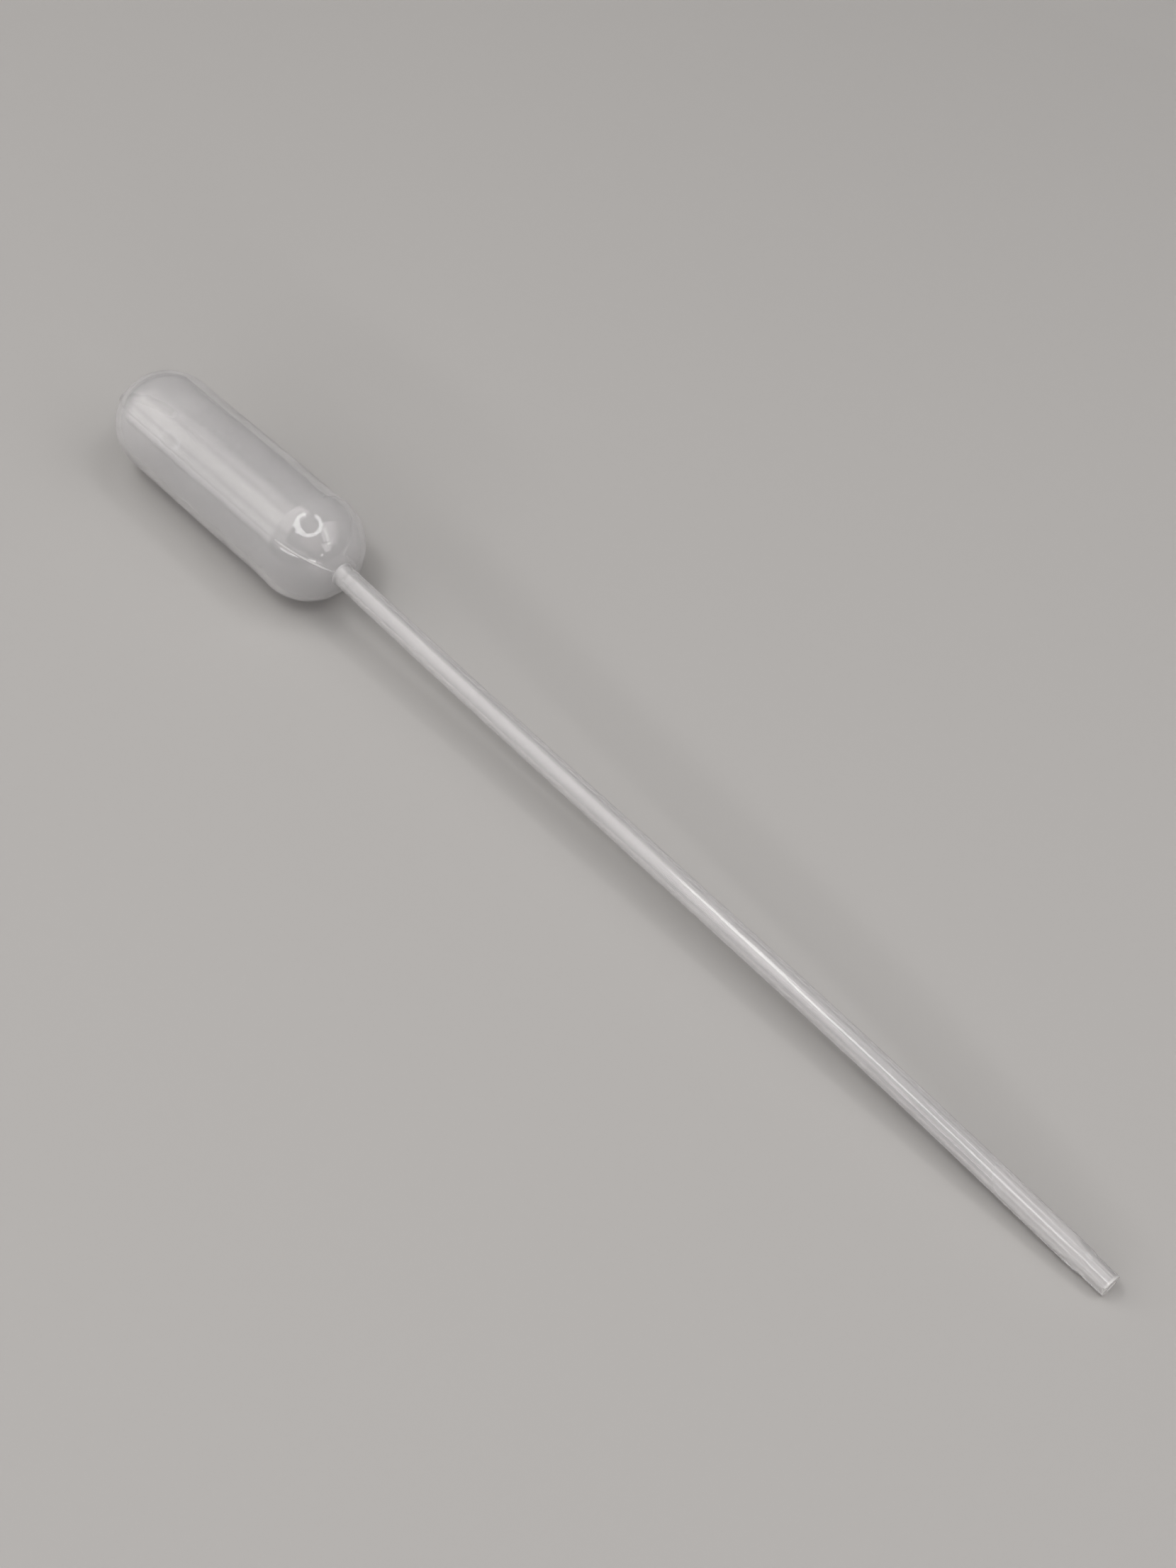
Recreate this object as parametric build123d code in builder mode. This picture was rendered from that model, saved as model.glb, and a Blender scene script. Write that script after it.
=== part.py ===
"""Blow-moulded plastic dropper pipette: one hollow piece, a bulb with a long thin stem.

Frame: millimetres, +Z up, the pipette lying on Z = 0 as it comes to rest, with its bulb
towards -X, its tip towards +X and its axis in the XZ plane. The origin is under the middle
of its length. It rests on the front of the bulb and on the tip.
"""

from build123d import *
from math import cos, radians, sin, tan
import os

# Bulb: a straight tube closed by two domes, blown thin so that it can be squeezed.
bulb_od = 12.9
bulb_straight = 28.4  # between the centres of the two domes
bulb_wall = 0.45
bulb_tilt = 0.5  # degrees, front end down
shoulder_step = 0.1  # the mould insert of the front dome is this much larger in radius
shoulder_length = 1.0  # length over which the tube flares out to the insert

# Mould marks. The halves of the mould meet in one plane through the bulb's axis, and the
# same plane holds the weld where the mould pinched the hot tube shut.
parting_angle = 46.0  # degrees round the bulb's axis, from straight up towards -Y
parting_width = 0.14
parting_height = 0.05
weld_half_angle = 46.0  # degrees of the rear dome on each side of its pole
weld_width = 0.9
weld_height = 0.16
weld_bead = 0.3  # how far the pinched wall stands into the bulb

# Stem: a tube with the slight bow of a part that cooled lying down.
stem_od = 2.7
stem_wall = 0.5
stem_reach = 120.0  # from the centre of the front dome to the centre of the cut end
root_bend_at = 26.2  # from the centre of the front dome
root_bend_drop = 0.08  # below the straight line from the root to the tip
root_bend_length = 15.0  # from the bend's corner to each of its ends
tip_bend_at = 28.9  # from the cut end
tip_bend_rise = 0.83  # above the same line
tip_bend_length = 14.0
root_fillet = 0.35  # outside, where the stem leaves the dome
throat_fillet = 0.4  # inside, where the bore leaves the bulb

# Nozzle: the end of the stem, drawn down in steps so that it forms even drops.
nozzle_land = 2.6  # parallel end
nozzle_draw = 0.16  # the land's radius is this much under the stem's
neck_cone = 0.7  # length of the short cone behind the land
neck_draw = 0.06  # radius still lost at the back of that cone
neck_taper = 2.1  # length of the slow taper from the stem down to the cone
nozzle_wall = 0.64
bore_cone = 1.6  # length over which the bore narrows, from the back of the nozzle
end_break = 0.06

bulb_r = bulb_od / 2
dome_r = bulb_r + shoulder_step
stem_r = stem_od / 2
bore_r = stem_r - stem_wall
nozzle_r = stem_r - nozzle_draw
neck_r = stem_r - neck_draw
nozzle_bore_r = nozzle_r - nozzle_wall
neck_at = nozzle_land + neck_cone
nozzle_length = neck_at + neck_taper

# The bulb's axis, the centre of its front dome, and planes whose X runs along that axis.
bulb_axis = Vector(cos(radians(bulb_tilt)), 0, -sin(radians(bulb_tilt)))
rear_reach = (bulb_straight + bulb_r + weld_height) * bulb_axis.X
dome_centre = Vector((rear_reach - stem_reach) / 2, 0, dome_r)
bulb_plane = Plane(origin=dome_centre, x_dir=bulb_axis, z_dir=(0, -1, 0))
parting_plane = bulb_plane.rotated((parting_angle, 0, 0))
bulb_centre_line = Axis(dome_centre, bulb_axis)

# Ends of the stem's centre line. It starts inside the bulb, so that the bore opens into it.
root = dome_centre + bulb_axis * (dome_r - 2 * bulb_wall)
tip = Vector(dome_centre.X + stem_reach, 0, nozzle_r)


def stem_corner(x, rise):
    """Corner of the centre line, rise above the straight line from the root to the tip."""
    share = (x - root.X) / (tip.X - root.X)
    return Vector(x, 0, root.Z + (tip.Z - root.Z) * share + rise)


def bend_radius(before, corner, after, length):
    """Radius of the arc that touches both runs at this length from their corner."""
    turn = (corner - before).get_angle(after - corner)
    return length / tan(radians(turn) / 2)


root_corner = stem_corner(dome_centre.X + root_bend_at, -root_bend_drop)
tip_corner = stem_corner(tip.X - tip_bend_at, tip_bend_rise)
bend_radii = [
    bend_radius(root, root_corner, tip_corner, root_bend_length),
    bend_radius(root_corner, tip_corner, tip, tip_bend_length),
]

# Plane of the nozzle: its X runs back from the centre of the cut end into the stem.
tip_axis = (tip_corner - tip).normalized()
nozzle_plane = Plane(origin=tip, x_dir=tip_axis, z_dir=(0, 1, 0))
nozzle_centre_line = Axis(tip, tip_axis)
nozzle_start = tip + tip_axis * nozzle_length

# Half outlines of the bulb above its axis: its outside, its inside and the parting ridge.
offsets = {"outside": 0.0, "inside": -bulb_wall, "ridge": parting_height}
outlines = {}
for name, growth in offsets.items():
    rear_r = bulb_r + growth
    front_r = dome_r + growth
    with BuildSketch() as outline:
        with BuildLine():
            Line((front_r, 0), (-bulb_straight - rear_r, 0))
            RadiusArc((-bulb_straight - rear_r, 0), (-bulb_straight, rear_r), rear_r)
            Polyline((-bulb_straight, rear_r), (-shoulder_length, rear_r), (0, front_r))
            RadiusArc((0, front_r), (front_r, 0), front_r)
        make_face()
    outlines[name] = outline.sketch

# Half outline of the nozzle on its axis, and of the bore inside it, from the cut end back.
with BuildSketch(nozzle_plane) as nozzle_outline:
    with BuildLine():
        Polyline(
            (0, 0),
            (0, nozzle_r - end_break),
            (end_break, nozzle_r),
            (nozzle_land, nozzle_r),
            (neck_at, neck_r),
            (nozzle_length, stem_r),
            (nozzle_length, 0),
            close=True,
        )
    make_face()

with BuildSketch(nozzle_plane) as nozzle_bore_outline:
    with BuildLine():
        Polyline(
            (0, 0),
            (0, nozzle_bore_r),
            (nozzle_length - bore_cone, nozzle_bore_r),
            (nozzle_length, bore_r),
            (nozzle_length, 0),
            close=True,
        )
    make_face()

with BuildPart() as pipette:
    # Solid bulb, turned on its axis, with the stem carried along its bowed centre line.
    with BuildSketch(bulb_plane):
        add(outlines["outside"])
    revolve(axis=bulb_centre_line)

    with BuildLine() as centre_line:
        FilletPolyline(root, root_corner, tip_corner, nozzle_start, radius=bend_radii)
    with BuildSketch(Plane(origin=root, z_dir=centre_line.line % 0)):
        Circle(stem_r)
    sweep(path=centre_line.line)
    revolve(nozzle_outline.sketch, axis=nozzle_centre_line)

    # The stem leaves the dome with a small fillet. Their meeting line is the only spline.
    fillet(pipette.edges().filter_by(GeomType.BSPLINE), radius=root_fillet)

    # Parting ridge: a thin plate in the mould's parting plane, just proud of the bulb.
    with BuildSketch(parting_plane):
        add(outlines["ridge"])
        mirror(about=Plane.XZ)
    extrude(amount=parting_width / 2, both=True)

    # Hollow of the bulb, and the bore that leads from it to the tip.
    with BuildSketch(bulb_plane):
        add(outlines["inside"])
    revolve(axis=bulb_centre_line, mode=Mode.SUBTRACT)
    with BuildSketch(Plane(origin=root, z_dir=centre_line.line % 0)):
        Circle(bore_r)
    sweep(path=centre_line.line, mode=Mode.SUBTRACT)
    revolve(nozzle_bore_outline.sketch, axis=nozzle_centre_line, mode=Mode.SUBTRACT)

    # The edge of the bore's mouth is the spline nearest the start of the centre line.
    bore_mouth = pipette.edges().filter_by(GeomType.BSPLINE).sort_by_distance(root)[0]
    fillet(bore_mouth, radius=throat_fillet)

    # Weld: a bar across the pole of the rear dome, proud of the wall outside and inside.
    with BuildSketch(parting_plane):
        with Locations((-bulb_straight, 0)):
            Circle(bulb_r + weld_height)
            Circle(bulb_r - bulb_wall - weld_bead, mode=Mode.SUBTRACT)
            Triangle(
                a=4 * bulb_r * sin(radians(weld_half_angle)),
                b=2 * bulb_r,
                c=2 * bulb_r,
                rotation=-90,
                align=(Align.CENTER, Align.MAX),
                mode=Mode.INTERSECT,
            )
    extrude(amount=weld_width / 2, both=True)

pipette.part.label = "pipette"
os.makedirs("parts", exist_ok=True)
export_step(pipette.part, "parts/pipette.step")
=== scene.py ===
"""Looks of a plastic dropper pipette: one hollow piece, a bulb with a long thin stem.

The wall is one closed surface. It runs from the rear of the bulb over its outside and down
the stem to the cut end, turns in through the bore, and comes back up to the rear of the
bulb on the inside. Lengths in the classes are millimetres; meshes are in metres.
"""

import logging
from dataclasses import dataclass, field, fields
from enum import Enum
from math import cos, pi, radians, sin, tan

import bpy
import numpy as np
from mathutils import Matrix, Vector


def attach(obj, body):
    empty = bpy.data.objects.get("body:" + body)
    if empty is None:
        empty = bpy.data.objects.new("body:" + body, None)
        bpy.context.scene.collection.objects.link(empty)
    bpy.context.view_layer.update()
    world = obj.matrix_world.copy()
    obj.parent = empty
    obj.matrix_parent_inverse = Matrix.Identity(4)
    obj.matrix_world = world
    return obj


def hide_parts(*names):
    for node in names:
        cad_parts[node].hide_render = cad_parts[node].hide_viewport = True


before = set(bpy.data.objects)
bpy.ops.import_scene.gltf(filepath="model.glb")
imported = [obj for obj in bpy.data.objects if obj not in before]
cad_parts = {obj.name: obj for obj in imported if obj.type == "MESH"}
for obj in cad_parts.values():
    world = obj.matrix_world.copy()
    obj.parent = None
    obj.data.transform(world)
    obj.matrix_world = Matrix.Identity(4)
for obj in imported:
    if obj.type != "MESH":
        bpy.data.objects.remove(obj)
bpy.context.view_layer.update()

LOG = logging.getLogger("pipette")
MM = 0.001
CAD_NODE = "pipette"
# milkiness of each point, the painted highlight of the ridge and joint mark included
MILKINESS_WITH_GLINT = "milkiness_with_painted_glint"
STEM_REACH = 120.0  # from the front dome's centre to the cut end's


class Face(Enum):
    """The two faces of the wall."""

    OUTSIDE = "outside"
    INSIDE = "inside"


class Tint(Enum):
    """Colours of the lamps."""

    WARM = (1.0, 0.96, 0.93)
    SOFT = (1.0, 0.97, 0.95)
    PALE = (1.0, 0.98, 0.96)
    ROSE = (1.0, 0.87, 0.85)


def smooth_step(low: float, high: float, value: np.ndarray) -> np.ndarray:
    """Rises from 0 at low to 1 at high along 3t^2 - 2t^3.

    Args:
        low: Value at which the step starts.
        high: Value at which it ends. It may be under low, and the step then falls.
        value: Where the step is wanted.

    Returns:
        The height of the step, in the shape of value.
    """
    share = np.clip((value - low) / (high - low), 0.0, 1.0)
    return share * share * (3.0 - 2.0 * share)


def plateau(distance: np.ndarray, half_width: float, edge: float) -> np.ndarray:
    """A flat-topped ridge: 1 within half_width, falling to 0 over an edge outside it.

    Args:
        distance: Distance from the middle of the ridge, of either sign.
        half_width: Half the width of the flat top.
        edge: Width of each flank.

    Returns:
        The ridge's height between 0 and 1.
    """
    return smooth_step(half_width + edge, half_width, np.abs(distance))


def spread(rows: np.ndarray, azimuth: np.ndarray) -> np.ndarray:
    """Repeats each row's value for every column."""
    return np.repeat(rows[:, None], azimuth.size, axis=1)


def off_plane(angle: float, up: np.ndarray, aside: np.ndarray) -> np.ndarray:
    """Distance from a plane through the bulb's axis.

    Args:
        angle: The plane's angle in degrees, from straight up towards -Y.
        up: Heights above the axis.
        aside: Distances from the axis towards -Y.

    Returns:
        The distances, of either sign: aside * cos angle - up * sin angle.
    """
    return aside * cos(radians(angle)) - up * sin(radians(angle))


@dataclass(frozen=True)
class Waves:
    """An uneven surface: a sum of sine waves that close on themselves around the tube.

    Each wave is sin(2 pi along / own length + whole number * around + own phase), and its
    weight falls with its frequency. The lengths, numbers and phases are drawn from the seed.
    """

    height: float  # millimetres
    seed: int
    count: int
    longest: float  # millimetres

    def heights(self, along: np.ndarray, around: np.ndarray) -> np.ndarray:
        """Heights of the surface.

        Args:
            along: Distance of each row along the tube in millimetres.
            around: Angle of each column round the tube in radians.

        Returns:
            Heights in millimetres, rows x columns.
        """
        draw = np.random.default_rng(self.seed)
        wave_lengths = self.longest / draw.uniform(1.0, 6.0, self.count)
        turns = draw.integers(-4, 5, self.count)
        phases = draw.uniform(0.0, 2.0 * pi, self.count)
        weights = wave_lengths / self.longest
        angle = (
            2.0 * pi * along[:, None, None] / wave_lengths
            + turns * around[None, :, None]
            + phases
        )
        total = (np.sin(angle) * weights).sum(axis=-1)
        return self.height * total / np.sqrt((weights**2).sum())


@dataclass(frozen=True)
class Rings:
    """Rows of a surface carried along an axis in the XZ plane.

    Each row has a centre, the downward slope of its axis, and a shift aside. Its points
    stand off the centre by an axial distance along the axis and a radius across it.
    """

    centre_x: np.ndarray
    centre_z: np.ndarray
    slope: np.ndarray
    axial: np.ndarray
    radius: np.ndarray
    aside: np.ndarray  # shift of each row towards -Y

    def points(self, azimuth: np.ndarray) -> np.ndarray:
        """Places of all points of the rows.

        A point is centre + axial * (cos slope, 0, -sin slope) + radius * (cos azimuth *
        (sin slope, 0, cos slope) - sin azimuth * (0, 1, 0)) - aside * (0, 1, 0).

        Args:
            azimuth: Angles of the columns in radians, from straight up towards -Y.

        Returns:
            Array of rows x columns x 3.
        """
        level, steep = np.cos(self.slope)[:, None], np.sin(self.slope)[:, None]
        above, side = np.cos(azimuth)[None, :], np.sin(azimuth)[None, :]
        x = self.centre_x[:, None] + self.axial * level + self.radius * above * steep
        y = -self.radius * side - self.aside[:, None]
        z = self.centre_z[:, None] - self.axial * steep + self.radius * above * level
        return np.stack([x, y, z], axis=-1)

    @staticmethod
    def joined(parts: list["Rings"]) -> "Rings":
        """Puts the rows of several stretches one after the other.

        Args:
            parts: The stretches in order.

        Returns:
            All their rows as one surface.
        """
        names = [column.name for column in fields(Rings)]
        return Rings(
            *(np.concatenate([getattr(part, name) for part in parts]) for name in names)
        )

    def reversed(self) -> "Rings":
        """The same rows in the opposite order."""
        return Rings(*(getattr(self, column.name)[::-1] for column in fields(self)))


@dataclass(frozen=True)
class Azimuths:
    """Columns of the wall: even ones, and closer ones at the weld, the ridge and a flank."""

    even: int = 74
    lines: tuple[float, ...] = (46.0, 48.5)  # degrees, of the weld and of the ridge
    close: tuple[float, ...] = (  # degrees to each side of those lines
        0.35, 0.62, 0.9, 1.3, 1.9, 2.6, 3.4, 4.3, 5.3, 6.4, 7.8, 9.6
    )
    flank: tuple[float, ...] = (-50.0, -48.9, -48.2, -47.4, -41.3, -40.4, -39.7, -38.8)
    clearance: float = 1.3  # degrees, of an even column from any closer one
    least_gap: float = 0.12  # degrees

    def angles(self) -> np.ndarray:
        """Angles of the columns.

        Returns:
            Sorted angles in radians from straight up towards -Y, none of them twice.
        """
        offsets = np.array(self.close)
        near = np.concatenate([-offsets, [0.0], offsets])
        closer = [near + angle + half for angle in self.lines for half in (0.0, 180.0)]
        closer.append(np.array(self.flank))
        fixed = np.concatenate(closer) % 360.0
        even = np.arange(self.even) * 360.0 / self.even
        gap = np.abs((even[:, None] - fixed[None, :] + 180.0) % 360.0 - 180.0).min(axis=1)
        angles = np.sort(np.concatenate([even[gap > self.clearance], fixed]))
        return np.radians(angles[np.diff(angles, prepend=-1.0) > self.least_gap])


@dataclass(frozen=True)
class Bulb:
    """The thin blown bulb: a straight tube between two domes, with its mould marks.

    Axial places are measured from the front dome's centre, towards the tip.
    """

    radius: float = 6.45
    dome_radius: float = 6.55
    straight: float = 28.1
    wall: float = 0.45
    front_x: float = -42.496  # X of the front dome's centre
    tilt: float = 0.0  # degrees, front end down
    turn: float = 0.34  # degrees, the blown bulb's rear end aside towards -Y
    root_slope: float = 0.873  # degrees, where the stem leaves the dome
    shoulder: float = 2.6  # length over which the tube flares out to the front dome

    ridge: float = 48.5  # degrees, where the halves of the mould met
    ridge_height: float = 0.022
    ridge_flank: float = 0.12
    front_ridge: float = 1.4  # how much more it stands out on the front dome
    front_ridge_rise: tuple[float, float] = (0.2, 2.0)
    joint_height: float = 0.03  # of the mark round the dome where the mould insert meets
    joint_at: float = 0.25
    joint_flank: float = 0.13
    joint_middle: float = -80.0  # degrees, the side on which it shows
    joint_half: float = 58.0  # degrees
    joint_fade: float = 12.0  # degrees

    weld: float = 46.0  # degrees, of the plane in which the tube was pinched shut
    weld_half_angle: float = 46.0  # degrees of the rear dome on each side of its pole
    weld_fade: float = 1.5  # degrees
    weld_height: float = 0.15
    weld_width: float = 0.9
    weld_flank: float = 0.6
    bead_height: float = 0.16  # inside
    bead_flank: float = 0.9

    blown_outside: Waves = Waves(0.018, seed=11, count=14, longest=34.0)
    blown_inside: Waves = Waves(0.018, seed=12, count=14, longest=34.0)
    pucker_outside: Waves = Waves(0.010, seed=13, count=10, longest=6.0)
    pucker_inside: Waves = Waves(0.010, seed=14, count=10, longest=6.0)
    pucker_folds: int = 3
    pucker_at: float = 0.6  # in front of the rear dome's centre
    pucker_reach: float = 1.4
    pole_radius: float = 3.0  # round the poles, within which the wall evens out

    rear_rows: tuple[float, ...] = (  # degrees from the rear pole, close at the weld's end
        1.0, 2.2, 3.6, 5.2, 7.0, 9.0, 11.5, 14.5, 18.0, 22.0, 26.0, 30.0, 34.0, 37.5, 40.5,
        43.0, 44.6, 45.6, 46.4, 47.4, 49.0, 52.0, 56.0, 60.0, 64.0, 68.0, 72.0, 75.0, 78.0,
        80.5, 83.0, 85.5, 88.0,
    )
    tube_rows: int = 54
    flare_rows: tuple[float, ...] = (-2.35, -2.1, -1.8, -1.5, -1.2, -0.9, -0.6, -0.3)
    joint_rows: tuple[float, ...] = (  # degrees from the axis
        90.0, 89.2, 88.8, 88.5, 88.2, 87.9, 87.6, 87.3, 87.0, 86.7, 86.3
    )
    front_rows: int = 25
    front_start: float = 85.0  # degrees from the axis

    def skin(self, face: Face) -> float:
        """Distance from the outer skin to the face, inwards."""
        return 0.0 if face is Face.OUTSIDE else self.wall

    def rows(self, face: Face, end_angle: float, azimuth: np.ndarray) -> Rings:
        """Rows of one face from near the rear pole to the edge of the root.

        The rear dome is a sphere about the end of the straight tube, the tube flares out
        over the shoulder, and the front dome is a sphere of the larger radius.

        Args:
            face: Which face of the wall.
            end_angle: Degrees from the axis at which the front dome stops.
            azimuth: Angles of the columns in radians.

        Returns:
            The rows, the rear pole itself left out.
        """
        rear, front = self.radius - self.skin(face), self.dome_radius - self.skin(face)
        rear_angle = np.radians(self.rear_rows)
        tube = np.linspace(-self.straight, -self.shoulder, self.tube_rows)
        flare = np.array(self.flare_rows)
        dome = np.linspace(self.front_start, end_angle, self.front_rows)
        front_angle = np.radians(np.append(self.joint_rows, dome))
        axial = np.concatenate([
            -self.straight - rear * np.cos(rear_angle), tube, flare,
            front * np.cos(front_angle),
        ])
        radius = np.concatenate([
            rear * np.sin(rear_angle), np.full(tube.shape, rear),
            np.interp(flare, [-self.shoulder, 0.0], [rear, front]),
            front * np.sin(front_angle),
        ])
        outward = np.concatenate([
            np.stack([-np.cos(rear_angle), np.sin(rear_angle)], axis=-1),
            np.tile([0.0, 1.0], (tube.size + flare.size, 1)),
            np.stack([np.cos(front_angle), np.sin(front_angle)], axis=-1),
        ])
        height = self.relief(face, axial, radius, azimuth)
        bent = np.interp(axial, [0.0, front], [self.tilt, self.root_slope])
        return Rings(
            np.full(axial.shape, self.front_x),
            np.full(axial.shape, self.dome_radius),
            np.radians(bent),
            axial[:, None] + height * outward[:, :1],
            radius[:, None] + height * outward[:, 1:],
            self.aside(axial),
        )

    def aside(self, axial: np.ndarray) -> np.ndarray:
        """How far each row of the bulb stands towards -Y: its turn times its distance."""
        return np.maximum(-axial, 0.0) * tan(radians(self.turn))

    def relief(
        self, face: Face, axial: np.ndarray, radius: np.ndarray, azimuth: np.ndarray
    ) -> np.ndarray:
        """Height of the mould marks and of the slight unevenness of the blown wall.

        Both faces carry sums of waves, stronger where the rear dome begins. Outside, a
        plateau across the ridge's plane is the ridge, one round the front dome is the
        joint mark, and one across the weld's plane is the weld. Inside, the weld is a
        thicker bead.

        Args:
            face: Which face of the wall.
            axial: Place of each row along the axis.
            radius: Radius of each row.
            azimuth: Angles of the columns in radians.

        Returns:
            Heights along the outward direction, rows x columns.
        """
        outside = face is Face.OUTSIDE
        up, side = (radius[:, None] * part for part in (np.cos(azimuth), np.sin(azimuth)))
        fade = smooth_step(0.0, self.pole_radius, radius)[:, None]
        blown = self.blown_outside if outside else self.blown_inside
        pucker = self.pucker_outside if outside else self.pucker_inside
        from_pucker = (axial + self.straight - self.pucker_at) / self.pucker_reach
        uneven = fade * blown.heights(axial, azimuth)
        uneven += np.exp(-(from_pucker**2))[:, None] * pucker.heights(
            axial, self.pucker_folds * azimuth
        )
        bar = self.weld_bar(axial, radius, off_plane(self.weld, up, side), face)
        if not outside:
            return uneven - self.bead_height * bar
        ridge = plateau(off_plane(self.ridge, up, side), 0.0, self.ridge_flank)
        rise = 1.0 + self.front_ridge * smooth_step(*self.front_ridge_rise, axial)[:, None]
        joint = plateau(axial - self.joint_at, 0.0, self.joint_flank)[:, None]
        uneven += self.joint_height * joint * self.joint_side(np.degrees(azimuth))
        ridge *= self.ridge_height * rise * fade
        return uneven + np.maximum(ridge, self.weld_height * bar)

    def weld_bar(
        self, axial: np.ndarray, radius: np.ndarray, off_weld: np.ndarray, face: Face
    ) -> np.ndarray:
        """The bar across the rear pole where the mould pinched the tube shut.

        Args:
            axial: Place of each row along the axis.
            radius: Radius of each row.
            off_weld: Distance of each point from the weld's plane.
            face: Which face of the wall.

        Returns:
            Its height between 0 and 1, rows x columns.
        """
        flank = self.weld_flank if face is Face.OUTSIDE else self.bead_flank
        behind = -self.straight - axial[:, None]
        from_pole = np.degrees(np.arctan2(radius[:, None], np.maximum(behind, 1e-6)))
        end = self.weld_half_angle
        bar = plateau(off_weld, max(self.weld_width - flank, 0.0) / 2, flank)
        bar = bar * smooth_step(end + self.weld_fade, end, from_pole)
        return np.where(behind > 0.0, bar, 0.0)

    def joint_side(self, azimuth: np.ndarray) -> np.ndarray:
        """Share from 0 to 1 of the joint mark that shows at each angle, in degrees."""
        off_middle = np.abs((azimuth - self.joint_middle + 180.0) % 360.0 - 180.0)
        return smooth_step(self.joint_half, self.joint_half - self.joint_fade, off_middle)

    def pole(self, face: Face) -> np.ndarray:
        """Place of the rear pole on one face, on top of the weld.

        Args:
            face: Which face of the wall.

        Returns:
            X, Y and Z.
        """
        lift = self.weld_height if face is Face.OUTSIDE else -self.bead_height
        reach = -self.straight - (self.radius - self.skin(face)) - lift
        slope = radians(self.tilt)
        return np.array([
            self.front_x + reach * cos(slope),
            -float(self.aside(np.array(reach))),
            self.dome_radius - reach * sin(slope),
        ])


@dataclass(frozen=True)
class Stem:
    """The long thin stem with its bow, and the nozzle drawn down at its end."""

    radius: float = 1.35
    swelling: float = 0.02  # the drawn tube is this much thicker near its root
    thinning: float = 0.02  # and this much thinner before the nozzle
    bore_radius: float = 0.85
    root_bend_at: float = 26.2  # from the front dome's centre
    root_bend_drop: float = 0.08
    root_bend_half: float = 15.0
    tip_bend_at: float = 28.9  # from the cut end
    tip_bend_rise: float = 0.83
    tip_bend_half: float = 14.0
    root_depth: float = 5.65  # of the centre line's start, from the front dome's centre
    root_tilt: float = 0.5  # degrees, of the line between those two points
    swell_end: float = 12.0  # from the root, where the swelling is at its most
    thin_over: float = 20.0  # before the nozzle, over which the tube thins
    land: float = 2.6
    cone: float = 0.7
    taper: float = 2.1
    land_radius: float = 1.19
    neck_radius: float = 1.29
    nozzle_bore: float = 0.55
    nozzle_bore_length: float = 3.8

    ripple: Waves = Waves(0.001, seed=21, count=18, longest=70.0)
    bore_ripple: Waves = Waves(0.002, seed=22, count=22, longest=50.0)
    ripple_start: float = 4.0  # length over which each of them sets in
    ripple_end: tuple[float, float] = (0.5, 3.0)  # before the cut end, where it fades
    bore_ripple_end: tuple[float, float] = (6.0, 16.0)
    ragged: Waves = Waves(0.02, seed=31, count=9, longest=3.0)  # of the cut
    ragged_pitch: float = 2.2  # how much faster it changes across the wall
    notch_depth: float = 0.09
    notch_azimuth: float = 62.0  # degrees
    notch_half: float = 9.0  # degrees
    centre_steps: int = 4000

    tube_rows: int = 176
    bore_rows: int = 150
    nozzle_rows: tuple[float, ...] = (  # before the cut end
        4.9, 4.4, 3.9, 3.5, 3.3, 3.2, 2.95, 2.7, 2.6, 2.5, 2.2, 1.7, 1.2, 0.7, 0.3, 0.12
    )
    nozzle_bore_rows: tuple[float, ...] = (
        5.1, 4.7, 4.2, 3.9, 3.8, 3.6, 3.0, 2.2, 1.5, 0.9, 0.45, 0.15
    )
    cut_outer: tuple[float, ...] = (0.0, 0.012, 0.035, 0.06, 0.14, 0.26, 0.4)  # inwards
    cut_inner: tuple[float, ...] = (0.1, 0.035, 0.01)  # outwards from the bore
    cut_sunk: tuple[float, ...] = (0.06, 0.028, 0.01, 0.0, 0.0, 0.0, 0.0, 0.0, 0.012, 0.04)

    def corners(self) -> np.ndarray:
        """Corners of the centre line, a little below and above its straight line.

        Returns:
            X and Z of the root, of the two bends' corners and of the cut end's centre.
        """
        bulb = Bulb()
        slope = radians(self.root_tilt)
        root = np.array([
            bulb.front_x + self.root_depth * cos(slope),
            bulb.dome_radius - self.root_depth * sin(slope),
        ])
        end = np.array([bulb.front_x + STEM_REACH, self.land_radius])
        x = np.array([bulb.front_x + self.root_bend_at, end[0] - self.tip_bend_at])
        rise = np.array([-self.root_bend_drop, self.tip_bend_rise])
        z = np.interp(x, [root[0], end[0]], [root[1], end[1]]) + rise
        return np.array([root, [x[0], z[0]], [x[1], z[1]], end])

    def runs(self) -> tuple[np.ndarray, np.ndarray]:
        """Downward slopes in radians and lengths of the three runs between the corners."""
        steps = np.diff(self.corners(), axis=0)
        return np.arctan2(-steps[:, 1], steps[:, 0]), np.hypot(steps[:, 0], steps[:, 1])

    @property
    def taper_at(self) -> float:
        """Distance along the centre line at which the nozzle begins."""
        return self.length - self.land - self.cone - self.taper

    @property
    def length(self) -> float:
        """Length of the centre line.

        Returns:
            The length of its runs, less what each rounded bend saves.
        """
        slopes, lengths = self.runs()
        turns = np.abs(np.diff(slopes))
        halves = np.array([self.root_bend_half, self.tip_bend_half])
        saved = 2 * halves - turns * halves / np.tan(turns / 2)
        return float(lengths.sum() - saved.sum())

    def slope_at(self, distance: np.ndarray) -> np.ndarray:
        """Downward slope of the centre line: straight runs and even bends.

        Args:
            distance: Lengths along the centre line from the root.

        Returns:
            Slopes in radians.
        """
        slopes, lengths = self.runs()
        first, second = lengths[0], lengths[0] + lengths[1]
        knots = [
            first - self.root_bend_half, first + self.root_bend_half,
            second - self.tip_bend_half, second + self.tip_bend_half,
        ]
        return np.interp(distance, knots, slopes[[0, 1, 1, 2]])

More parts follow.
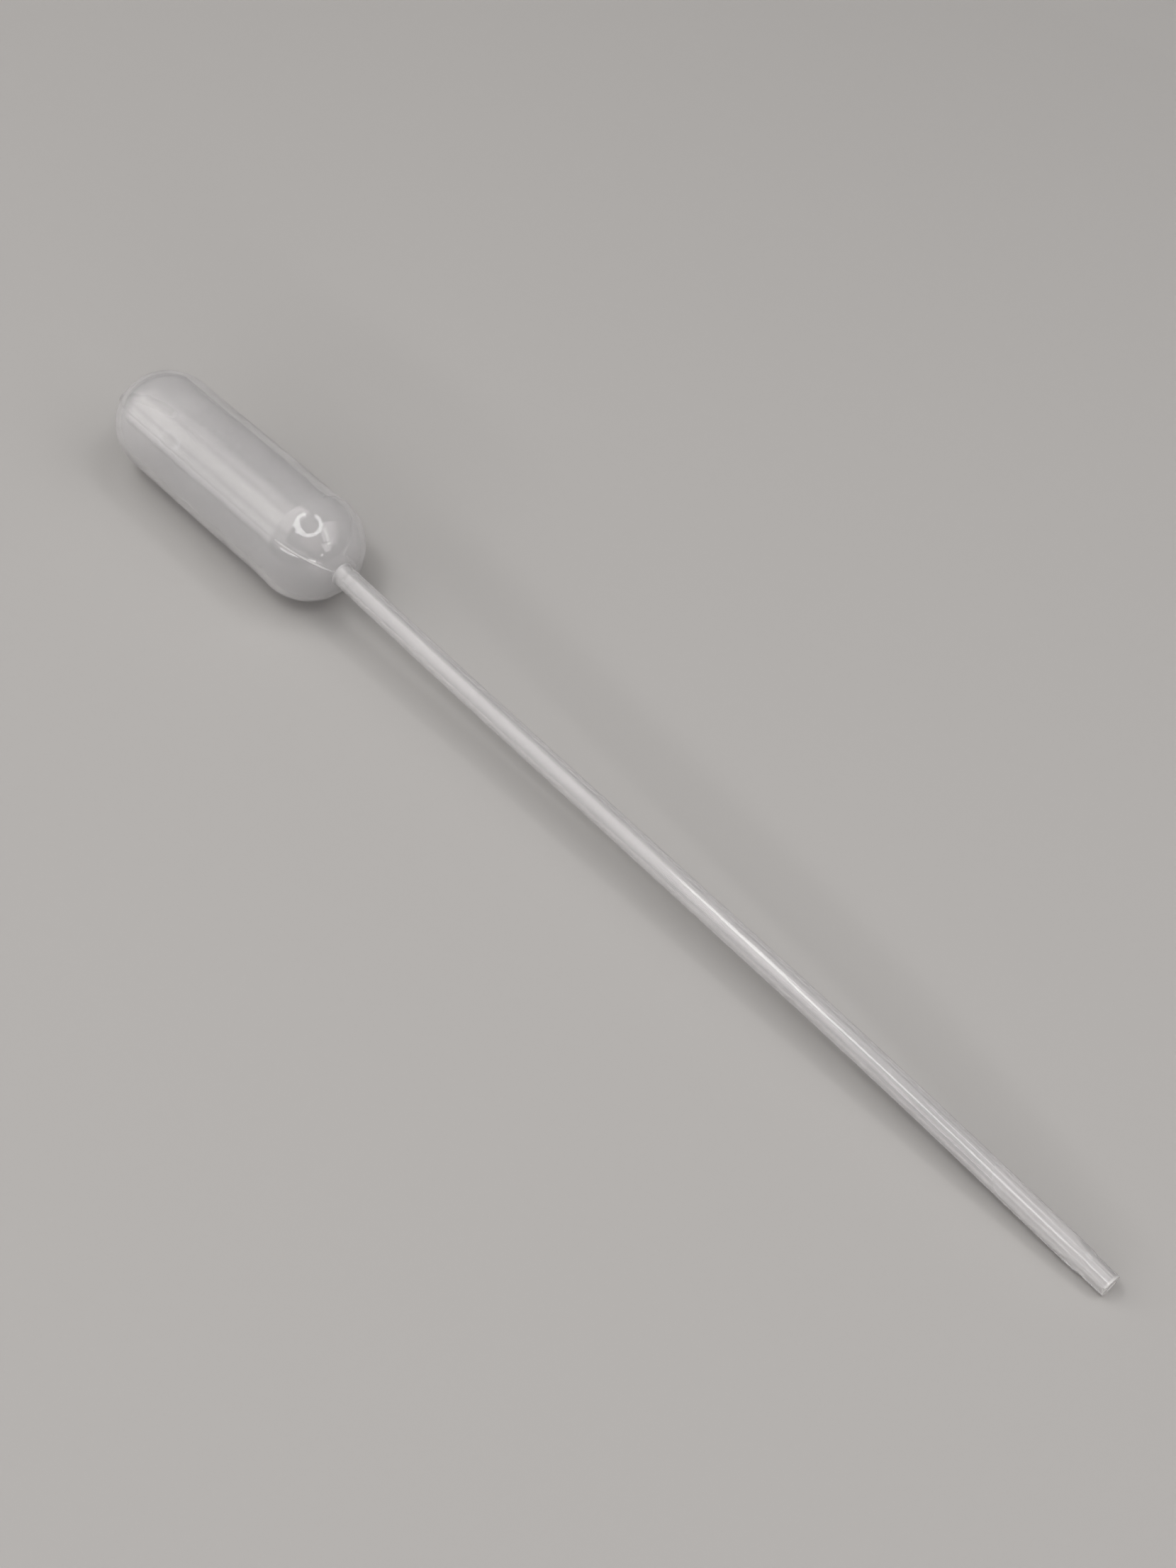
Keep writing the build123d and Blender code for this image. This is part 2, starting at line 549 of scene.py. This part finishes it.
    def centre(self, distance: np.ndarray) -> tuple[np.ndarray, np.ndarray]:
        """Places on the centre line: the root plus the summed direction.

        Args:
            distance: Lengths along the centre line from the root.

        Returns:
            X and Z of each place.
        """
        steps = np.linspace(0.0, self.length, self.centre_steps + 1)
        slope = self.slope_at((steps[1:] + steps[:-1]) / 2)
        width = np.diff(steps)
        root_x, root_z = self.corners()[0]
        x = root_x + np.concatenate([[0.0], np.cumsum(np.cos(slope) * width)])
        z = root_z - np.concatenate([[0.0], np.cumsum(np.sin(slope) * width)])
        return np.interp(distance, steps, x), np.interp(distance, steps, z)

    def outside(self, azimuth: np.ndarray, start: float) -> Rings:
        """Rows of the stem's skin from the root's fillet to the cut end's edge.

        The radius is a line through a few given radii, with the ripple on top.

        Args:
            azimuth: Angles of the columns in radians.
            start: Distance from the root at which the fillet ends.

        Returns:
            The rows.
        """
        tube = np.linspace(start, self.taper_at, self.tube_rows)
        distance = np.concatenate([tube, self.length - np.array(self.nozzle_rows)])
        knots = [
            start, self.swell_end, self.taper_at - self.thin_over, self.taper_at,
            self.taper_at + self.taper, self.length - self.land,
        ]
        thin = self.radius - self.thinning
        given = [
            self.radius, self.radius + self.swelling, thin, thin, self.neck_radius,
            self.land_radius,
        ]
        near, far = (self.length - reach for reach in self.ripple_end)
        share = smooth_step(start, start + self.ripple_start, distance)
        share *= smooth_step(near, far, distance)
        ripple = share[:, None] * self.ripple.heights(distance, azimuth)
        return self.along(distance, np.interp(distance, knots, given)[:, None] + ripple)

    def cut(self, azimuth: np.ndarray) -> Rings:
        """Rows over the cut end, from its outer edge to the bore's edge.

        The cut wanders along the axis with the azimuth and has one shallow notch.

        Args:
            azimuth: Angles of the columns in radians.

        Returns:
            The rows.
        """
        outer, inner = self.land_radius, self.nozzle_bore
        radius = np.append(outer - np.array(self.cut_outer), inner + np.array(self.cut_inner))
        wander = self.ragged.heights(self.ragged_pitch * radius, azimuth)
        off_notch = (azimuth - radians(self.notch_azimuth) + pi) % (2 * pi) - pi
        notch = self.notch_depth * np.exp(-((off_notch / radians(self.notch_half)) ** 2))
        rim = smooth_step(inner, outer, radius)[:, None]
        sunk = np.array(self.cut_sunk)[:, None]
        return self.along(
            np.full(radius.shape, self.length), spread(radius, azimuth),
            -sunk - np.abs(wander) - notch[None, :] * rim,
        )

    def inside(self, azimuth: np.ndarray, start: float) -> Rings:
        """Rows of the bore, from the throat to just behind the cut end.

        The bore narrows with a smooth step from the tube's to the nozzle's.

        Args:
            azimuth: Angles of the columns in radians.
            start: Distance from the root at which the throat's rounding ends.

        Returns:
            The rows, in the order of the outside's rows.
        """
        tube = np.linspace(start, self.taper_at, self.bore_rows)
        distance = np.concatenate([tube, self.length - np.array(self.nozzle_bore_rows)])
        narrow = smooth_step(self.taper_at, self.length - self.nozzle_bore_length, distance)
        radius = self.bore_radius + (self.nozzle_bore - self.bore_radius) * narrow
        near, far = (self.length - reach for reach in self.bore_ripple_end)
        share = smooth_step(start, start + self.ripple_start, distance)
        share *= smooth_step(near, far, distance)
        ripple = share[:, None] * self.bore_ripple.heights(distance, azimuth)
        return self.along(distance, radius[:, None] + ripple)

    def along(
        self, distance: np.ndarray, radius: np.ndarray, axial: np.ndarray | None = None
    ) -> Rings:
        """Rows about the centre line.

        Args:
            distance: Place of each row along it.
            radius: Radius of each point, rows x columns.
            axial: How far each point stands ahead of its row, if it does.

        Returns:
            The rows.
        """
        x, z = self.centre(distance)
        ahead = np.zeros(radius.shape) if axial is None else axial
        return Rings(x, z, self.slope_at(distance), ahead, radius, np.zeros(distance.shape))


@dataclass(frozen=True)
class Root:
    """The rounding where the stem leaves the front dome, on one face of the wall."""

    axial: float  # of the rounding's centre, from the dome's centre
    radial: float
    rounding: float
    tube_start: float  # along the stem's centre line, where its tube takes over
    rows_across: int = 9
    blend: float = 0.1  # radians, by which the turn of the axis outlasts the arc

    def touch_angle(self) -> float:
        """Degrees from the axis at which the rounding touches the dome."""
        return float(np.degrees(np.arctan2(self.radial, self.axial)))

    def rows(self, bulb: Bulb, stem: Stem, azimuth: np.ndarray) -> Rings:
        """Rows of the rounding, from the dome to the tube.

        Its section is an arc about the rounding's centre. The axis turns from the dome's
        to the stem's on the way, so that both ends meet their neighbours.

        Args:
            bulb: The bulb it leaves.
            stem: The stem it leads to.
            azimuth: Angles of the columns in radians.

        Returns:
            The rows between the dome's last row and the tube's first.
        """
        turn = np.radians(
            np.linspace(180.0 + self.touch_angle(), 270.0, self.rows_across + 2)[1:-1]
        )
        axial = self.axial + self.rounding * np.cos(turn)
        radius = self.radial + self.rounding * np.sin(turn)
        share = smooth_step(turn[0] - self.blend, turn[-1] + self.blend, turn)
        stem_x, stem_z = stem.centre(np.full(turn.shape, self.tube_start))
        slope = np.radians(bulb.root_slope)
        dome_x = bulb.front_x + self.axial * cos(slope)
        dome_z = bulb.dome_radius - self.axial * sin(slope)
        return Rings(
            dome_x + (stem_x - dome_x) * share,
            dome_z + (stem_z - dome_z) * share,
            slope + (float(stem.runs()[0][0]) - slope) * share,
            spread(axial - self.axial, azimuth),
            spread(radius, azimuth),
            np.zeros(axial.shape),
        )


@dataclass(frozen=True)
class Milkiness:
    """How milky each part is, from the thin bulb's 0 to 1: whiter where the wall is thicker,
    and whiter on the ridge and the joint mark as a painted highlight.

    Each pair of places gives a smooth step, from its first value to its second.
    """

    stem: float = 0.1
    root: float = 0.5  # the solid ring where the stem leaves the dome
    nozzle: float = 0.35
    weld: float = 0.75
    # painted highlight: the real parting ridge is whitened on the front dome, where it catches
    # the light
    ridge: float = 0.6
    dome_end: tuple[float, float] = (6.35, 6.6)  # from the front dome's centre
    root_end: tuple[float, float] = (9.0, 7.0)  # from there, too
    nozzle_rise: tuple[float, float] = (-24.0, -2.0)  # from the cut end
    cut_rise: tuple[float, float] = (-0.16, -0.08)  # from there, too
    weld_edge: tuple[float, float] = (0.8, 0.3)  # from the weld's plane
    weld_reach: tuple[float, float] = (2.5, 1.5)  # from the bulb's rear end
    # where the ridge's painted highlight reaches
    ridge_glint_edge: tuple[float, float] = (0.2, 0.05)  # from the ridge's plane
    ridge_glint_start: tuple[float, float] = (0.2, 2.0)  # from the front dome's centre
    ridge_glint_end: tuple[float, float] = (6.45, 6.3)  # from there, too
    # painted highlight: the real joint mark is whitened where it catches the light
    joint_glint_edge: tuple[float, float] = (0.14, 0.04)  # from the joint mark

    def at(self, places: np.ndarray, bulb: Bulb) -> np.ndarray:
        """Milkiness of points of the wall: the highest of all the parts that reach them.

        Args:
            places: X, Y and Z of each point in millimetres.
            bulb: The bulb that carries the mould marks.

        Returns:
            Values from 0 to 1.
        """
        x, y, z = places.T
        ahead, up = x - bulb.front_x, z - bulb.dome_radius
        from_end, from_rear = ahead - STEM_REACH, ahead + bulb.straight + bulb.radius
        off_weld = np.abs(off_plane(bulb.weld, up, -y))
        off_ridge = np.abs(off_plane(bulb.ridge, up, -y))
        stem = smooth_step(*self.dome_end, ahead)
        weld = smooth_step(*self.weld_edge, off_weld)
        weld *= smooth_step(*self.weld_reach, from_rear)
        # painted highlight along the real parting ridge on the front dome
        ridge = smooth_step(*self.ridge_glint_edge, off_ridge)
        ridge *= smooth_step(*self.ridge_glint_start, ahead) * smooth_step(*self.ridge_glint_end, ahead)
        # painted highlight along the real joint mark
        joint = smooth_step(*self.joint_glint_edge, np.abs(ahead - bulb.joint_at))
        return np.maximum.reduce([
            self.stem * stem,
            self.root * stem * smooth_step(*self.root_end, ahead),
            self.nozzle * smooth_step(*self.nozzle_rise, from_end),
            smooth_step(*self.cut_rise, from_end),
            self.weld * weld,
            self.ridge * ridge,
            joint * bulb.joint_side(np.degrees(np.arctan2(-y, up))),
        ])


@dataclass(frozen=True)
class Noise:
    """A noise on object coordinates."""

    scale: float
    detail: float
    stretch: tuple[float, float, float] = (1.0, 1.0, 1.0)


@dataclass(frozen=True)
class MilkyPlastic:
    """Unpigmented soft polyethylene: cloudy, waxy, a little blue where it is thin."""

    name: str = "milky_polyethylene"
    thin_tint: tuple[float, float, float] = (0.935, 0.93, 0.938)
    thick_tint: tuple[float, float, float] = (0.955, 0.945, 0.94)
    thin_clearness: float = 0.78
    thick_clearness: float = 0.55
    clouding: float = 0.2  # share of the tint and clearness that follows the clouds
    refraction: float = 1.51
    thin_roughness: float = 0.04
    thick_roughness: float = 0.2
    clouds: Noise = Noise(scale=130.0, detail=3.0)
    cloud_range: tuple[float, float] = (0.3, 0.7)  # of the noise, taken as none and full
    flow: Noise = Noise(scale=200.0, detail=1.0, stretch=(0.12, 1.0, 1.0))  # drawn out on X
    bump: float = 0.03
    bump_depth: float = 0.02  # millimetres

    def material(self) -> bpy.types.Material:
        """Makes the material.

        Milkiness, with the ridge's and joint mark's painted highlight, and clouds set its tint,
        clearness and roughness, and the flow lines give its surface a slight bump.

        Returns:
            The material.
        """
        result = bpy.data.materials.new(self.name)
        result.use_nodes = True
        tree = result.node_tree
        shader = tree.nodes["Principled BSDF"]
        shader.inputs["IOR"].default_value = self.refraction
        # the stored milkiness, which carries the painted highlight of the ridge and joint mark
        milkiness_with_glint = tree.nodes.new("ShaderNodeAttribute")
        milkiness_with_glint.attribute_name = MILKINESS_WITH_GLINT
        milkiness = self.ranged(
            tree, self.pattern(tree, self.clouds), self.cloud_range,
            (-self.clouding / 2, self.clouding / 2),
        )
        total = tree.nodes.new("ShaderNodeMath")
        total.operation = "ADD"
        total.use_clamp = True
        tree.links.new(milkiness_with_glint.outputs["Fac"], total.inputs[0])
        tree.links.new(milkiness, total.inputs[1])
        tint = tree.nodes.new("ShaderNodeMix")
        tint.data_type = "RGBA"
        tint.inputs["A"].default_value = (*self.thin_tint, 1.0)
        tint.inputs["B"].default_value = (*self.thick_tint, 1.0)
        tree.links.new(total.outputs["Value"], tint.inputs["Factor"])
        tree.links.new(tint.outputs["Result"], shader.inputs["Base Color"])
        clearness = self.ranged(
            tree, total.outputs["Value"], (0.0, 1.0),
            (self.thin_clearness, self.thick_clearness),
        )
        tree.links.new(clearness, shader.inputs["Transmission Weight"])
        gloss = self.ranged(
            tree, total.outputs["Value"], (0.0, 1.0),
            (self.thin_roughness, self.thick_roughness),
        )
        tree.links.new(gloss, shader.inputs["Roughness"])
        bump = tree.nodes.new("ShaderNodeBump")
        bump.inputs["Strength"].default_value = self.bump
        bump.inputs["Distance"].default_value = self.bump_depth * MM
        tree.links.new(self.pattern(tree, self.flow), bump.inputs["Height"])
        tree.links.new(bump.outputs["Normal"], shader.inputs["Normal"])
        return result

    @staticmethod
    def ranged(
        tree: bpy.types.NodeTree,
        source: bpy.types.NodeSocket,
        given: tuple[float, float],
        wanted: tuple[float, float],
    ) -> bpy.types.NodeSocket:
        """Adds a straight change of range.

        Args:
            tree: The material's node tree.
            source: The socket whose value is changed.
            given: Its values at the two ends.
            wanted: The values that they become.

        Returns:
            The socket with the new value.
        """
        span = tree.nodes.new("ShaderNodeMapRange")
        for name, value in zip(("From Min", "From Max", "To Min", "To Max"), given + wanted):
            span.inputs[name].default_value = value
        tree.links.new(source, span.inputs["Value"])
        return span.outputs["Result"]

    @staticmethod
    def pattern(tree: bpy.types.NodeTree, noise: Noise) -> bpy.types.NodeSocket:
        """Adds a noise.

        Args:
            tree: The material's node tree.
            noise: Its scale, detail and stretch.

        Returns:
            The socket with the pattern's height.
        """
        place = tree.nodes.new("ShaderNodeTexCoord")
        mapping = tree.nodes.new("ShaderNodeMapping")
        texture = tree.nodes.new("ShaderNodeTexNoise")
        mapping.inputs["Scale"].default_value = noise.stretch
        texture.inputs["Scale"].default_value = noise.scale
        texture.inputs["Detail"].default_value = noise.detail
        tree.links.new(place.outputs["Object"], mapping.inputs["Vector"])
        tree.links.new(mapping.outputs["Vector"], texture.inputs["Vector"])
        return texture.outputs["Fac"]


@dataclass
class Pipette:
    """The whole pipette, which is one piece."""

    name: str = "pipette_wall"
    bulb: Bulb = field(default_factory=Bulb)
    stem: Stem = field(default_factory=Stem)
    root: Root = Root(axial=6.687, radial=1.70, rounding=0.35, tube_start=1.04)
    throat: Root = Root(axial=6.379, radial=1.25, rounding=0.40, tube_start=0.732)
    columns: Azimuths = field(default_factory=Azimuths)
    milkiness: Milkiness = field(default_factory=Milkiness)
    finish: MilkyPlastic = field(default_factory=MilkyPlastic)

    def rings(self, azimuth: np.ndarray) -> Rings:
        """All rows in order, from the outer rear pole round to the inner one.

        Args:
            azimuth: Angles of the columns in radians.

        Returns:
            The rows.
        """
        outside = [
            self.bulb.rows(Face.OUTSIDE, self.root.touch_angle(), azimuth),
            self.root.rows(self.bulb, self.stem, azimuth),
            self.stem.outside(azimuth, self.root.tube_start),
            self.stem.cut(azimuth),
        ]
        inside = Rings.joined([
            self.bulb.rows(Face.INSIDE, self.throat.touch_angle(), azimuth),
            self.throat.rows(self.bulb, self.stem, azimuth),
            self.stem.inside(azimuth, self.throat.tube_start),
        ])
        return Rings.joined([*outside, inside.reversed()])

    def build(self) -> bpy.types.Object:
        """Makes the closed wall, with its poles as fans of triangles.

        Returns:
            The object, at the origin, with its place in its mesh.
        """
        azimuth = self.columns.angles()
        grid = self.rings(azimuth).points(azimuth)
        rows, columns, _ = grid.shape
        poles = np.stack([self.bulb.pole(Face.OUTSIDE), self.bulb.pole(Face.INSIDE)])
        corners = np.concatenate([grid.reshape(-1, 3), poles]) * MM
        index = np.arange(rows * columns).reshape(rows, columns)
        after = np.roll(index, -1, axis=1)
        quads = np.stack([index[:-1], after[:-1], after[1:], index[1:]], axis=-1)
        first, last = rows * columns, rows * columns + 1
        rear_fan = np.stack([np.full(columns, first), after[0], index[0]], axis=-1)
        inner_fan = np.stack([index[-1], after[-1], np.full(columns, last)], axis=-1)
        mesh = bpy.data.meshes.new(self.name)
        faces = [*quads.reshape(-1, 4).tolist(), *rear_fan.tolist(), *inner_fan.tolist()]
        mesh.from_pydata(corners.tolist(), [], faces)
        mesh.polygons.foreach_set("use_smooth", np.ones(len(mesh.polygons), bool))
        self.record_milkiness_with_glint(mesh)
        mesh.validate()
        piece = bpy.data.objects.new(self.name, mesh)
        bpy.context.scene.collection.objects.link(piece)
        return piece

    def record_milkiness_with_glint(self, mesh: bpy.types.Mesh) -> None:
        """Stores the milkiness of each point with the mesh, with the ridge's and joint mark's
        painted highlight.

        Args:
            mesh: The wall's mesh, in metres.
        """
        places = np.empty(len(mesh.vertices) * 3)
        mesh.vertices.foreach_get("co", places)
        milky = self.milkiness.at(places.reshape(-1, 3) / MM, self.bulb)
        layer = mesh.attributes.new(MILKINESS_WITH_GLINT, "FLOAT", "POINT")
        layer.data.foreach_set("value", milky.astype(np.float32))

    def dress(self, piece: bpy.types.Object) -> None:
        """Gives the wall its plastic and lets it stand for the CAD node.

        Args:
            piece: The wall's object.
        """
        piece.data.materials.append(self.finish.material())
        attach(piece, "root")
        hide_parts(CAD_NODE)


@dataclass(frozen=True)
class Strip:
    """A soft strip lamp parallel to X, beside and above the pipette.

    Its place is given by the angles that it fills as seen from the target: round the X
    axis from straight up towards -Y, and along X from straight across. Where it fades, it
    is made of layers of light, each a little narrower than the one before.
    """

    name: str
    around: tuple[float, float]  # degrees
    along: tuple[float, float]  # degrees
    radiance: float
    tint: Tint
    fade: tuple[float, float] = (0.0, 0.0)  # degrees that each long side takes to fade
    layers: int = 1
    rear_fade: float = 0.0  # degrees that the end towards -X takes to fade
    distance: float = 0.6  # metres
    target: tuple[float, float, float] = (-0.045, 0.0, 0.007)

    def build(self) -> None:
        """Adds the lamp, layer by layer."""
        for layer in range(self.layers):
            share = (layer + 0.5) / self.layers
            around = (
                self.around[0] + self.fade[0] * share,
                self.around[1] - self.fade[1] * share,
            )
            along = (self.along[0] + self.rear_fade * share, self.along[1])
            self.build_layer(around, along, layer)

    def build_layer(
        self, around: tuple[float, float], along: tuple[float, float], layer: int
    ) -> bpy.types.Object:
        """Adds one layer. Its power is radiance x pi x area, so that size leaves it alone.

        Args:
            around: The angles round the X axis that the layer fills, in degrees.
            along: The angles along X that it fills, in degrees.
            layer: Number of the layer, for its name.

        Returns:
            The lamp, its long side along X and its face towards the target.
        """
        middle = radians(sum(around) / 2)
        half = radians(around[1] - around[0]) / 2
        start, end = (self.distance * tan(radians(angle)) for angle in along)
        back = Vector((0.0, -sin(middle), cos(middle)))
        place = Vector(self.target) + back * self.distance
        place.x += (start + end) / 2
        data = bpy.data.lights.new(f"{self.name}_{layer}", "AREA")
        data.shape = "RECTANGLE"
        data.size, data.size_y = end - start, 2 * self.distance * tan(half)
        data.energy = self.radiance / self.layers * pi * data.size * data.size_y
        data.color = self.tint.value
        side = Vector((1.0, 0.0, 0.0))
        turn = Matrix((side, back.cross(side), back)).transposed()
        lamp = bpy.data.objects.new(data.name, data)
        lamp.matrix_world = Matrix.Translation(place) @ turn.to_4x4()
        bpy.context.scene.collection.objects.link(lamp)
        return lamp


@dataclass(frozen=True)
class RingLamp:
    """A ring of small round lamps overhead, with a gap where its cable enters."""

    direction: tuple[float, float, float] = (0.15, -0.01, 0.985)
    distance: float = 0.5  # metres
    half_angle: float = 22.9  # degrees, from the ring's middle to the ring
    bead: float = 0.076  # metres, across each lamp
    count: int = 24
    gap: tuple[int, ...] = (20, 21, 22)
    extra: tuple[tuple[float, float], ...] = (  # place, and share of the radius
        (2.4, 0.85), (3.4, 0.82), (4.4, 0.81), (5.5, 0.81), (6.5, 0.82), (7.5, 0.86),
        (3.5, 1.15), (5.6, 1.14),
    )
    radiance: float = 4.0
    target: tuple[float, float, float] = (-0.043, 0.0, 0.012)

    def build(self) -> None:
        """Adds the lamps: even ones round a circle that faces the bulb, and extra ones."""
        aim = Vector(self.direction).normalized()
        across = aim.cross(Vector((0.0, 1.0, 0.0))).normalized()
        beyond = aim.cross(across)
        spread = self.distance * tan(radians(self.half_angle))
        frame_turn = Matrix((across, beyond, aim)).transposed().to_4x4()
        centre = Vector(self.target) + aim * self.distance
        even = [(index, 1.0) for index in range(self.count) if index not in self.gap]
        for index, share in [*even, *self.extra]:
            turn = 2.0 * pi * index / self.count
            data = bpy.data.lights.new(f"ring_lamp_{index:.1f}", "AREA")
            data.shape = "DISK"
            data.size = self.bead
            data.energy = self.radiance * pi * pi / 4 * self.bead**2
            lamp = bpy.data.objects.new(data.name, data)
            place = centre + share * spread * (cos(turn) * across + sin(turn) * beyond)
            lamp.matrix_world = Matrix.Translation(place) @ frame_turn
            bpy.context.scene.collection.objects.link(lamp)


@dataclass(frozen=True)
class Studio:
    """The plain floor, the surrounding light, the lamps and the camera."""

    floor_size: float = 6.0
    floor_tint: tuple[float, float, float] = (0.42, 0.412, 0.404)
    floor_roughness: float = 0.9
    floor_gloss: float = 0.2
    lit_tint: tuple[float, float, float] = (0.435, 0.415, 0.40)  # as lit beside the pipette
    lit_ends: tuple[float, float] = (0.2, 0.7)  # metres, where the floor turns to that
    ambient: float = 0.05
    ambient_tint: tuple[float, float, float] = (1.0, 0.985, 0.96)
    camera_place: tuple[float, float, float] = (0.11837, -0.09693, 0.17840)
    camera_pitch: float = 49.10  # degrees below level
    camera_heading: float = 139.15  # degrees from +X towards +Y
    sensor: float = 36.0  # millimetres
    reach: float = 3100.0 / 2212.0  # of the lens, in lengths of the picture's longer side
    nearest: float = 0.005  # metres, that the camera sees
    strips: tuple[Strip, ...] = (
        Strip("key_wide", (-16.0, 92.0), (-58.0, -37.0), 0.86, Tint.WARM, (15.0, 20.0), 5, 11.0),
        Strip("key_core", (14.0, 50.0), (-66.0, -37.0), 1.35, Tint.WARM, (12.0, 9.0), 5, 20.0),
        Strip("key_low", (46.0, 88.0), (-58.0, -37.0), 1.3, Tint.SOFT, (14.0, 16.0), 5, 11.0),
        Strip("key_rear", (0.0, 104.0), (-82.0, -54.0), 0.5, Tint.SOFT, (30.0, 24.0), 4, 14.0),
        Strip("stem_key", (-19.0, 44.0), (-37.0, -9.0), 1.55, Tint.WARM, (6.0, 8.0), 3),
        Strip("stem_low", (38.0, 77.0), (-37.0, -4.0), 1.05, Tint.SOFT, (8.0, 9.0), 3),
        Strip("key_front", (-8.0, 44.0), (24.0, 62.0), 0.45, Tint.ROSE, (10.0, 12.0), 3),
        Strip("edge_low", (66.5, 71.0), (-6.0, 25.0), 11.0, Tint.PALE, (1.5, 1.5), 2),
        Strip("edge_high", (66.0, 70.0), (22.0, 57.0), 13.0, Tint.PALE, (2.0, 2.0), 2),
        Strip("edge_top", (67.0, 74.0), (55.0, 67.0), 9.0, Tint.PALE, (2.0, 2.0), 2),
        Strip("edge_soft", (50.0, 62.0), (-6.0, 50.0), 0.8, Tint.SOFT, (5.0, 4.0), 3),
        Strip("edge_end", (62.0, 80.0), (52.0, 68.0), 5.0, Tint.SOFT, (6.0, 6.0), 3),
        Strip("edge_far", (70.0, 100.0), (64.0, 78.0), 5.0, Tint.SOFT, (8.0, 8.0), 3),
        Strip("far_front", (-62.0, -19.0), (17.0, 59.0), 1.65, Tint.SOFT, (26.0, 1.5), 4),
        Strip("far_low", (-40.0, 2.0), (56.0, 72.0), 2.2, Tint.SOFT, (10.0, 2.0), 3),
        Strip("far_corner", (-30.0, -9.0), (28.0, 53.0), 1.75, Tint.PALE, (6.0, 2.0), 3),
        Strip("spark", (16.0, 34.0), (70.5, 74.0), 5.0, Tint.SOFT),
    )
    ring: RingLamp = RingLamp()

    def build(self) -> None:
        """Adds everything that isn't part of the pipette."""
        self.build_floor()
        self.build_world()
        self.build_camera()
        for strip in self.strips:
            strip.build()
        self.ring.build()
        bpy.context.scene.view_settings.view_transform = "Standard"

    def build_floor(self) -> None:
        """A plain pale floor at the height the pipette rests on."""
        half = self.floor_size / 2
        mesh = bpy.data.meshes.new("floor")
        mesh.from_pydata(
            [(-half, -half, 0.0), (half, -half, 0.0), (half, half, 0.0), (-half, half, 0.0)],
            [], [(0, 1, 2, 3)],
        )
        mesh.materials.append(self.floor_paint())
        floor = bpy.data.objects.new("floor", mesh)
        bpy.context.scene.collection.objects.link(floor)

    def floor_paint(self) -> bpy.types.Material:
        """Makes the floor's paint.

        The lamps light the floor only near the pipette, so further away it is shown in the
        tint that it has there. Only mirrored rays and rays that pass through bring it to
        the pipette.

        Returns:
            The material.
        """
        material = bpy.data.materials.new("floor_paint")
        material.use_nodes = True
        material.cycles.emission_sampling = "NONE"
        tree = material.node_tree
        shader = tree.nodes["Principled BSDF"]
        shader.inputs["Base Color"].default_value = (*self.floor_tint, 1.0)
        shader.inputs["Roughness"].default_value = self.floor_roughness
        shader.inputs["Specular IOR Level"].default_value = self.floor_gloss
        far = tree.nodes.new("ShaderNodeEmission")
        far.inputs["Color"].default_value = (*self.lit_tint, 1.0)
        place = tree.nodes.new("ShaderNodeTexCoord")
        distance = tree.nodes.new("ShaderNodeVectorMath")
        distance.operation = "LENGTH"
        tree.links.new(place.outputs["Object"], distance.inputs[0])
        fade = tree.nodes.new("ShaderNodeMapRange")
        fade.interpolation_type = "SMOOTHSTEP"
        for name, end in zip(("From Min", "From Max"), self.lit_ends):
            fade.inputs[name].default_value = end
        tree.links.new(distance.outputs["Value"], fade.inputs["Value"])
        share = tree.nodes.new("ShaderNodeMath")
        share.operation = "MULTIPLY"
        tree.links.new(fade.outputs["Result"], share.inputs[0])
        tree.links.new(self.seen_rays(tree), share.inputs[1])
        mix = tree.nodes.new("ShaderNodeMixShader")
        tree.links.new(share.outputs[0], mix.inputs[0])
        tree.links.new(shader.outputs[0], mix.inputs[1])
        tree.links.new(far.outputs[0], mix.inputs[2])
        tree.links.new(mix.outputs[0], tree.nodes["Material Output"].inputs["Surface"])
        return material

    @staticmethod
    def seen_rays(tree: bpy.types.NodeTree) -> bpy.types.NodeSocket:
        """Adds the choice of the rays that see the floor's far part as lit.

        Args:
            tree: The node tree of the floor's paint.

        Returns:
            A socket that is 1 for rays from the camera, mirrored or passing through, else 0.
        """
        path = tree.nodes.new("ShaderNodeLightPath")
        seen = path.outputs["Is Camera Ray"]
        for kind in ("Is Glossy Ray", "Is Transmission Ray"):
            both = tree.nodes.new("ShaderNodeMath")
            both.operation = "MAXIMUM"
            tree.links.new(seen, both.inputs[0])
            tree.links.new(path.outputs[kind], both.inputs[1])
            seen = both.outputs[0]
        return seen

    def build_world(self) -> None:
        """Adds a faint even light from all round, which every ray sees alike."""
        world = bpy.data.worlds.new("studio_world")
        bpy.context.scene.world = world
        world.use_nodes = True
        light = world.node_tree.nodes["Background"]
        light.inputs["Color"].default_value = (*self.ambient_tint, 1.0)
        light.inputs["Strength"].default_value = self.ambient

    def build_camera(self) -> None:
        """Adds the camera, above the stem's side and looking down at the bulb."""
        data = bpy.data.cameras.new("camera")
        data.sensor_width = self.sensor
        data.lens = self.reach * self.sensor
        data.clip_start = self.nearest
        camera = bpy.data.objects.new("camera", data)
        camera.location = self.camera_place
        camera.rotation_euler = (
            radians(90.0 - self.camera_pitch), 0.0, radians(self.camera_heading - 90.0)
        )
        bpy.context.scene.collection.objects.link(camera)
        bpy.context.scene.camera = camera


def main() -> None:
    """Builds the pipette and the studio, and reports each piece."""
    logging.basicConfig(level=logging.INFO, format="%(name)s: %(message)s")
    pipette = Pipette()
    piece = pipette.build()
    pipette.dress(piece)
    LOG.info("%s: %d faces", piece.name, len(piece.data.polygons))
    Studio().build()


if __name__ == "__main__":
    main()
